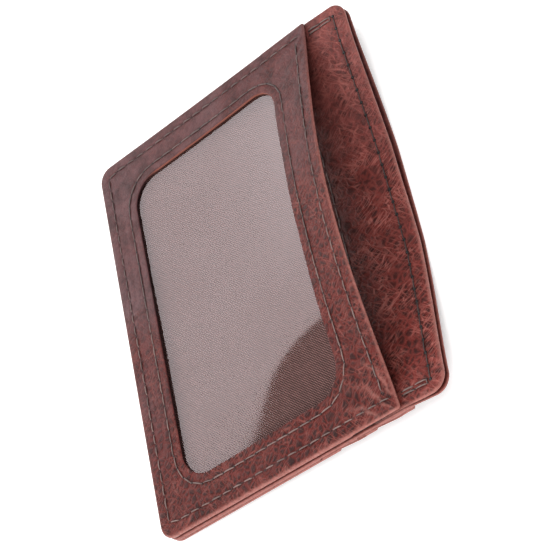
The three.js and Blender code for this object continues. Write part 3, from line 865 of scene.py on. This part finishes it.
def crease_lines(x, v):
    """Where folds have rubbed pale: narrow bands of the angle about a point beyond the right mouth corner,
    (0.5 + 0.5 sin)^8, fading with the distance from it."""
    angle, far = around_point(x, v, 56.0, 74.0)
    bands = (0.5 + 0.5 * np.sin(26 * angle + 1.5 * np.sin(0.45 * far) + 0.4 * np.sin(1.9 * far))) ** 8
    return 0.65 * bands * np.exp(-((far - 14.0) / 6.0) ** 2)


def mouth_creases(x, v):
    """Soft folds that fan out from the two mouth corners: waves in the angle about a point beyond each."""
    total = np.zeros_like(x)
    for side in (-1, 1):
        angle, far = around_point(side * x, v, 56.0, 78.0)
        total += 0.10 * np.exp(-((far - 17.0) / 9.0) ** 2) * np.sin(30 * angle + 1.3 * np.sin(0.5 * far))
    return total


make_window_frame()

# %% [markdown]
# ## Film and linings
#
# The film has very long soft waves, which bend what it mirrors. The linings are thin cloth cut a little
# smaller than the leather and sewn in at the edges.

# %% Window film


def follow(shape, level, thickness):
    """The two faces of a sheet of even thickness on one of the wallet's shapes. level is a number, or a
    function of the height."""
    def low(x, v):
        return shape(x, v) + (level(v) if callable(level) else level)

    def high(x, v):
        return low(x, v) + thickness
    return low, high


FILM_MARGIN, FILM_THICK = 3.0, 0.2
leather_sheet("window_film", "clear", film_clear, *outside_window(FILM_MARGIN)[:3], (1.0, 1.0),
              *follow(lip_shape, LEVEL["film"], FILM_THICK), roll=0.1, uneven=(5, 60.0, 0.035),
              across=90, up=50)

# %% Cloth linings


def lining(node, material, half, bottom, top, radii, shape, level, seed):
    return leather_sheet(node, "cloth", material, half, bottom, top, radii, *follow(shape, level, CLOTH),
                         roll=0.05, uneven=(seed, 14.0, 0.012), across=90, up=50)


SETBACK = 0.6
CLOTH_CUT = (HALF_WIDTH - SETBACK, SETBACK)
CLOTH_RADII = (CORNER - SETBACK, 0.05)
id_lining = lining("id_lining", id_cloth, *CLOTH_CUT, 63.0, CLOTH_RADII, wall_shape, LEVEL["id"], 21)
front_lining = lining("pocket_lining_front", pocket_cloth, *CLOTH_CUT, 75.0, CLOTH_RADII,
                      wall_shape, lambda v: LEVEL["lining_front"] + pile_drop(v), 22)
back_lining = lining("pocket_lining_back", pocket_cloth, *CLOTH_CUT, 75.0, CLOTH_RADII,
                     back_shape, lambda v: LEVEL["lining_back"] + pile_drop(v), 23)

# %% [markdown]
# ## Facing strip
#
# The facing is the leather that shows above the ID pocket's mouth. Its grain is coarser, and long soft
# wrinkles run down it into the dark of the pocket.

# %% Facing strip


def facing_wrinkles(x, v):
    """Shallow wrinkles that run down from the top seam: waves across x that lean and wander with v."""
    rng = np.random.default_rng(31)
    total = np.zeros_like(x)
    for _ in range(7):
        length, lean, phase = rng.uniform(5, 12), rng.uniform(-0.9, 0.9), rng.uniform(0, 2 * np.pi)
        total += np.sin(2 * np.pi * (x + lean * (v - 70)) / length + 1.2 * np.sin(v / 3.1 + phase) + phase)
    return 0.055 * total * smooth_step(75.2 - v, 0, 6)


def facing_high(x, v):
    return wall_shape(x, v) + LEVEL["facing"] + pile_drop(v) + facing_rise(v) + BODY_LEATHER


def facing_low(x, v):
    """The facing's turned edges, at its top and above the ID pocket at its sides, are doubled."""
    turned = smooth_step(v, HEIGHT - HEM - 0.5, HEIGHT - HEM)
    turned += rim_turn(x, v) * smooth_step(v, ID_MOUTH, ID_MOUTH + 2)
    return facing_high(x, v) - BODY_LEATHER - np.minimum(turned, 1) * np.minimum(facing_rise(v), 0.55)


leather_sheet(
    "facing_strip", "leather", facing_leather, HALF_WIDTH, 61.0, HEIGHT, (0.3, CORNER), facing_low,
    facing_high, roll=0.45, upper_rows=["facing_top", "facing_foot", "tack_left", "tack_right"],
    uneven=(12, 12.0, 0.05), across=210, up=110, relief=facing_wrinkles, pull=edge_reach)

# %% [markdown]
# ## Back half
#
# The back is four sheets of leather: a full panel, and three card slots that step down it. Each slot's mouth
# is turned, so it is double thick there, and the two upper slots start behind the one below and come out to
# the surface over a few millimetres.

# %% Back faces
HEM_THICK = 2 * SLOT_LEATHER
BEHIND_HEM = HEM_THICK + GAP
ONE_CLOTH = CLOTH + GAP
COMES_OUT = 5.0


def middle_band(v):
    return ramp(v, MOUTHS["lower"], MOUTHS["lower"] + COMES_OUT, BEHIND_HEM, 0)


UNDER_UPPER_FOOT = float(middle_band(np.array(FOOTS["upper"])))
BEHIND_MIDDLE = max(BEHIND_HEM, UNDER_UPPER_FOOT + SLOT_LEATHER + GAP + ONE_CLOTH)


def upper_band(v):
    return ramp(v, MOUTHS["middle"], MOUTHS["middle"] + COMES_OUT, BEHIND_MIDDLE, 0)


BANDS = {"upper": upper_band, "middle": middle_band, "lower": lambda v: 0 * v}


def slot_thickness(v, mouth):
    """A slot's leather is doubled in its hem."""
    return ramp(v, mouth - HEM - FOLD, mouth - HEM, SLOT_LEATHER, HEM_THICK)


def slot_pile_top(v):
    """The highest leather of the card slots at a height, in the turned rim."""
    top = np.where(v < MOUTHS["lower"] + GAP, HEM_THICK, 0.0)
    for place in ("middle", "upper"):
        there = (v < MOUTHS[place] + GAP) & (v > FOOTS[place] - GAP)
        top = np.where(there, np.maximum(top, BANDS[place](v) + slot_thickness(v, MOUTHS[place])), top)
    return top


def panel_face(x, v):
    return back_shape(x, v) + LEVEL["panel"] + pile_drop(v)


def panel_low(x, v):
    """The back panel's turned rim is packed down onto the card slots."""
    packed = np.maximum(0, LEVEL["panel"] + pile_drop(v) - slot_pile_top(v) - GAP)
    return panel_face(x, v) - rim_turn(x, v) * np.where(v < MOUTHS["upper"] + GAP, packed, 0)


# %% Back panel
leather_sheet(
    "back_panel", "leather", back_leather, HALF_WIDTH, 0.0, HEIGHT, (CORNER, CORNER), panel_low,
    lambda x, v: panel_face(x, v) + BODY_LEATHER, roll=0.4, upper_rows=["back_top"],
    lower_rows=["back_top", "side_back"], uneven=(13, 16.0, 0.02), up=110,
    fine_v=[50.0, 50.1, 55.0, 60.0, 60.1, 65.0, 70.0, 70.1], pull=edge_reach)

# %% Card slots


def make_slot(place):
    mouth, foot = MOUTHS[place], FOOTS[place]

    def low(x, v):
        return back_shape(x, v) + BANDS[place](v)

    def high(x, v):
        turned = rim_turn(x, v) * (HEM_THICK - SLOT_LEATHER) if place == "lower" else 0.0
        return low(x, v) + np.maximum(slot_thickness(v, mouth), SLOT_LEATHER + turned)

    leather_sheet(
        "slot_panel_" + place, "leather", back_leather, HALF_WIDTH, foot, mouth,
        (CORNER if place == "lower" else 0.3, 0.5), low, high, roll=0.33,
        lower_rows=["slot_" + place, "side_back"], fine_v=[mouth - HEM - FOLD, mouth - HEM])


for place in ("lower", "middle", "upper"):
    make_slot(place)

# %% Slot tails
MIDDLE_TAIL_HIGH = BEHIND_HEM + SLOT_LEATHER + GAP
UPPER_TAIL_HIGH = max(MIDDLE_TAIL_HIGH + ONE_CLOTH, BEHIND_MIDDLE + SLOT_LEATHER + GAP)
TAIL_LOW = SLOT_LEATHER + GAP
TAIL_FOOTS = {"middle": 12.0, "upper": 22.0}
for place, foot in TAIL_FOOTS.items():
    rows["tail_" + place] = straight(-44, foot + 1.5, 44, foot + 1.5)


def tail_level(place):
    """A tail hangs behind its slot's leather, and drops to the next free level below it."""
    if place == "middle":
        low, high = TAIL_LOW, MIDDLE_TAIL_HIGH
    else:
        low, high = TAIL_LOW + ONE_CLOTH, UPPER_TAIL_HIGH

    def level(v):
        hidden = ramp(v, FOOTS["middle"] - HEM, FOOTS["middle"], low, high)
        return np.where(v < FOOTS[place], hidden, BANDS[place](v) + SLOT_LEATHER + GAP)
    return level


for place in TAIL_FOOTS:
    tail = lining("slot_tail_" + place, pocket_cloth, 46.55, TAIL_FOOTS[place], MOUTHS[place] - HEM - FOLD,
                  (0.5, 0.5), back_shape, tail_level(place), 24)

# %% [markdown]
# ## Stitches
#
# A stitch rises out of one needle hole and dives into the next: a tapered tube of six sides along a shallow
# arch. A flat black bead, painted shade for the dark of the hole, lies in each hole, and a whole row is one
# piece.

# %% Stitch rows
STITCH_SIDES, BEAD_SIDES = 6, 8
STITCH_LEAN = 0.07


def turns(count):
    """Angles at equal steps round a circle."""
    return 2 * np.pi * np.arange(count) / count


def needle_holes(holes, face, side, radius, first):
    """A flat bead in each hole, painted near black by the thread material as the hole's shade: a top point, a
    ring, and a bottom point. Returns points and faces.
    """
    turn = turns(BEAD_SIDES)
    x = holes[:, :1] + radius * np.concatenate([[0], np.cos(turn), [0]])[None]
    v = holes[:, 1:] + radius * np.concatenate([[0], np.sin(turn), [0]])[None]
    lift = np.concatenate([[0.05], np.full(BEAD_SIDES, 0.035), [-0.05]])[None]
    points = np.stack([x, v, face(x, v) + side * lift], -1).reshape(-1, 3)
    faces = []
    for base in range(first, first + len(points), BEAD_SIDES + 2):
        for k in range(BEAD_SIDES):
            a, b = base + 1 + k, base + 1 + (k + 1) % BEAD_SIDES
            pair = [(base, a, b), (base + BEAD_SIDES + 1, b, a)]
            faces += pair if side > 0 else [corners[::-1] for corners in pair]
    return points, faces


def lay_stitches(name, node, holes, face, side=1.0, width=0.30, seed=1, rise=0.07, tone=0.5, hole=0.24,
                 reach=1.0, pull=None):
    """Every stitch at once. Its centre goes from hole to hole, at a height of rise sin(pi t)^0.6 less a dip at
    both ends; its radius is width / 2 times 0.5 + 0.5 sin(pi t)^0.5. reach is the share of the way that it
    covers, and hole the radius of the needle holes."""
    rng = np.random.default_rng(seed)
    a, b = holes[:-1], holes[1:]
    count = len(a)
    along = (b - a) / np.linalg.norm(b - a, axis=1)[:, None]
    lean = STITCH_LEAN * np.stack([-along[:, 1], along[:, 0]], 1)
    t = np.array([0.0, 0.07, 0.22, 0.5, 0.78, 0.93, 1.0])
    swell = np.sin(np.pi * t)
    jitter = rng.normal(0, 0.04, (count, 2, 2))
    short = (b - a) * (1 - reach) / 2
    start = a + short + lean + jitter[:, 0]
    end = b - short - lean + jitter[:, 1]
    centre = start[:, None] * (1 - t[None, :, None]) + end[:, None] * t[None, :, None]
    radius = width / 2 * (0.5 + 0.5 * swell ** 0.5)[None, :] * rng.uniform(0.85, 1.15, count)[:, None]
    height = rise * swell ** 0.6 - 0.25 * (1 - swell) ** 3 + radius * 0.3
    z = face(centre[..., 0], centre[..., 1]) + side * height
    middle = np.concatenate([centre, z[..., None]], -1)
    turn = turns(STITCH_SIDES)
    out = np.stack([along[:, 1], -along[:, 0], np.zeros(count)], 1)
    spokes = np.cos(turn)[:, None] * out[:, None, None, :] + np.sin(turn)[:, None] * np.array([0, 0, 1.0])
    tubes = (middle[:, :, None, :] + radius[..., None, None] * spokes).reshape(-1, 3)
    index = np.arange(len(tubes)).reshape(count, len(t), STITCH_SIDES)
    over = np.roll(index, -1, 2)
    quads = strip(index[:, :-1], over[:, :-1], over[:, 1:], index[:, 1:])
    caps = index[:, 0, ::-1].tolist() + index[:, -1].tolist()
    hole_shade_beads, hole_shade_faces = needle_holes(holes, face, side, hole, len(tubes))

    tones = tone(tubes[:, 0], tubes[:, 1]) if callable(tone) else np.full(len(tubes), tone)
    tones = np.clip(tones * np.repeat(rng.uniform(0.6, 1.25, count), len(t) * STITCH_SIDES), 0, 1)
    # The beads get tone -1, which paints them near black as the shade in the needle holes.
    tones = np.concatenate([tones, np.full(len(hole_shade_beads), -1.0)])
    points = np.concatenate([tubes, hole_shade_beads])
    if pull:
        points[:, 1] += pull(points[:, 0], points[:, 1])
    points[:, 1] -= HALF_HEIGHT
    piece = make_piece(name, node, points, quads.tolist() + caps + hole_shade_faces, thread, {"tone": tones})
    stitch_uv = np.stack(np.broadcast_arrays(t[None, :, None], turn / (2 * np.pi), index)[:2], -1)
    vertex_uv = np.concatenate([stitch_uv.reshape(-1, 2), np.zeros((len(hole_shade_beads), 2))])
    corner = np.zeros(len(piece.data.loops), np.int32)
    piece.data.loops.foreach_get("vertex_index", corner)
    layer = piece.data.uv_layers.new(name="stitch")
    layer.data.foreach_set("uv", vertex_uv[corner].astype(np.float32).ravel())


def paler_right(x, v):
    """Thread tone: dark wax on the left half, worn pale towards the right."""
    return 0.50 + 0.50 * smooth_step(x, -20, 25)


def sunk(face, depth=0.06):
    """A face with the seam's groove taken off it."""
    return lambda x, v: face(x, v) - depth


def outer_back(x, v):
    """The outermost leather of the back, where the side seam's lower thread lies."""
    above = np.where(v <= MOUTHS["upper"], upper_band(v), LEVEL["panel"] + pile_drop(v))
    above = np.where(v <= MOUTHS["middle"], middle_band(v), above)
    return back_shape(x, v) + np.where(v <= MOUTHS["lower"], 0.0, above)


def slot_face(place):
    return lambda x, v: back_shape(x, v) + BANDS[place](v) + 0.06


def tail_face(place):
    level = tail_level(place)
    return lambda x, v: back_shape(x, v) + level(v) + CLOTH


worn_pale = {"tone": paler_right, "width": 0.34}
on_back = {"side": -1.0, "tone": 0.3}
tack = {"width": 0.36, "seed": 49, "rise": 0.15, "tone": 0.75, "hole": 0.2, "pull": edge_reach}
stitch_rows = [
    ("window", "", "window", sunk(frame_high), worn_pale | {"seed": 41}),
    ("side", "_front", "side_front", sunk(frame_high, 0.01),
     worn_pale | {"seed": 42, "hole": 0.16, "reach": 0.8}),
    ("mouth", "", "mouth", sunk(frame_high, 0.03),
     {"seed": 43, "tone": paler_right, "width": 0.36, "hole": 0.2, "reach": 0.85}),
    ("facing_top", "", "facing_top", sunk(facing_high),
     {"seed": 44, "tone": 0.15, "width": 0.26, "hole": 0.40, "pull": edge_reach}),
    ("facing_foot", "", "facing_foot", sunk(facing_high),
     {"seed": 45, "tone": 0.6, "hole": 0.2, "pull": edge_reach}),
    ("back_top", "", "back_top", sunk(panel_face, -0.06),
     {"side": -1.0, "seed": 46, "tone": 0.2, "pull": edge_reach}),
    *(("slot", "_" + place, "slot_" + place, slot_face(place), on_back | {"seed": 47})
      for place in reversed(MOUTHS)),
    ("side", "_back", "side_back", sunk(outer_back, -0.06), on_back | {"seed": 48}),
    *(("tack", "_" + end, "tack_" + end, sunk(facing_high, 0.02), tack) for end in ("left", "right")),
    *(("tail", "_" + place, "tail_" + place, tail_face(place),
       {"width": 0.2, "seed": 50, "rise": 0.03, "hole": 0.05}) for place in TAIL_FOOTS),
]
for first, last, row, face, look in stitch_rows:
    node = "frame_mouth_thread" if first == "mouth" else f"{first}_thread{last}"
    lay_stitches(f"{first}_stitches{last}", node, rows[row], face, **look)

# %% [markdown]
# ## Floor and light
#
# A pale floor, which glows a little so that shadows stay faint, and a bright soft room. One large softbox
# stands beyond the closed corner, where the film and the waxed leather mirror it towards the camera, and two
# more fill from above and the right. A dark card that only reflections see hides part of the first one, and
# leaves the dark rounded corner in the window.

# %% Floor and lights
floor_paint = plain_material("floor_paint", {
    "Base Color": (0.93, 0.93, 0.93, 1.0), "Roughness": 0.95, "Specular IOR Level": 0.1,
    "Emission Color": (1.0, 1.0, 1.0, 1.0), "Emission Strength": 0.3})
FLOOR_HALF, FLOOR_LEVEL = 3000.0, -0.1
floor_corners = np.array([(-1, -1, 0), (1, -1, 0), (1, 1, 0), (-1, 1, 0)]) * FLOOR_HALF + [0, 0, FLOOR_LEVEL]
new_object("floor", floor_corners, [(0, 1, 2, 3)], floor_paint)


def softbox(name, direction, distance, size, power):
    """A rectangular area light at a distance along a direction from the wallet, facing it."""
    data = bpy.data.lights.new(name, "AREA")
    data.shape = "RECTANGLE"
    data.size, data.size_y = size
    data.energy = power
    lamp = bpy.data.objects.new(name, data)
    towards = Vector(direction).normalized()
    lamp.location = towards * distance
    lamp.rotation_mode = "QUATERNION"
    lamp.rotation_quaternion = towards.to_track_quat("Z", "Y")
    lamp.visible_camera = False
    bpy.context.scene.collection.objects.link(lamp)


softbox("back_softbox", (-0.481, -0.638, 0.602), 1.0, (0.82, 0.95), 7.1)
softbox("top_softbox", (0.25, 0.35, 1.0), 1.2, (0.8, 0.8), 8.0)
softbox("side_softbox", (0.78, -0.48, 0.42), 1.3, (0.6, 0.6), 13.0)

# %% Dark card in front of the softbox


def aimed_card(name, direction, distance, half, half_up, radius):
    """A flat black rounded card, seen only in reflections, on the two axes across a direction."""
    towards = Vector(direction).normalized()
    beside = Vector((0, 0, 1)).cross(towards).normalized()
    above = towards.cross(beside)
    outline = rounded_ring(half, -half_up, half_up, radius)[:-1]
    points = np.array(towards) * distance + outline @ np.array([beside, above])
    black = plain_material(name + "_black", {"Base Color": (0.0, 0.0, 0.0, 1.0), "Specular IOR Level": 0.0})
    card = new_object(name, points, [tuple(range(len(points)))], black)
    card.visible_camera = card.visible_diffuse = card.visible_shadow = card.visible_transmission = False


aimed_card("dark_card", (-0.2380, -0.6650, 0.708), 800.0, 95.0, 110.0, 50.0)

# %% Room light
world = bpy.data.worlds.new("room")
world.use_nodes = True
world.node_tree.nodes["Background"].inputs[0].default_value = (1.0, 1.0, 1.0, 1.0)
world.node_tree.nodes["Background"].inputs[1].default_value = 0.62
bpy.context.scene.world = world
bpy.context.scene.view_settings.view_transform = "Standard"
bpy.context.scene.view_settings.look = "None"
